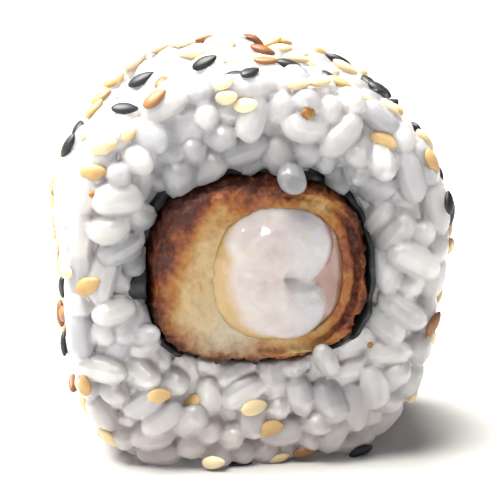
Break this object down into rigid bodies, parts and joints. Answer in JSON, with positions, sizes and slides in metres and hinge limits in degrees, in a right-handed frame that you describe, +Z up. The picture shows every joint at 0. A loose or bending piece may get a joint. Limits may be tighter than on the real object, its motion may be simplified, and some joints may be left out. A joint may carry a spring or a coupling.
{
  "type": "squid sushi roll",
  "caption": "A slice of an inside-out sushi roll lying with its cut faces upright: sesame-dotted rice round seaweed, fried batter and squid.",
  "frame": {"origin": "under the middle of the slice, on the flat that it rests on", "axes": "+Z up, +Y along the roll from the front cut face to the back one, +X to the right of the front face"},
  "size_m": [0.0472, 0.0264, 0.0466],
  "materials": {
    "rice": "moist cooked rice, translucent white grains",
    "seaweed": "damp pressed seaweed, near black",
    "batter": "craggy fried batter, golden inside and dark brown at its rim",
    "squid": "wet cooked squid, pinkish white",
    "pale_sesame": "satin seed skin",
    "golden_sesame": "satin toasted seed skin",
    "black_sesame": "satin black seed skin"
  },
  "bodies": {
    "root": {"rice": "rice", "seaweed": "seaweed", "batter": "batter", "squid": "squid"}
  },
  "joints": []
}
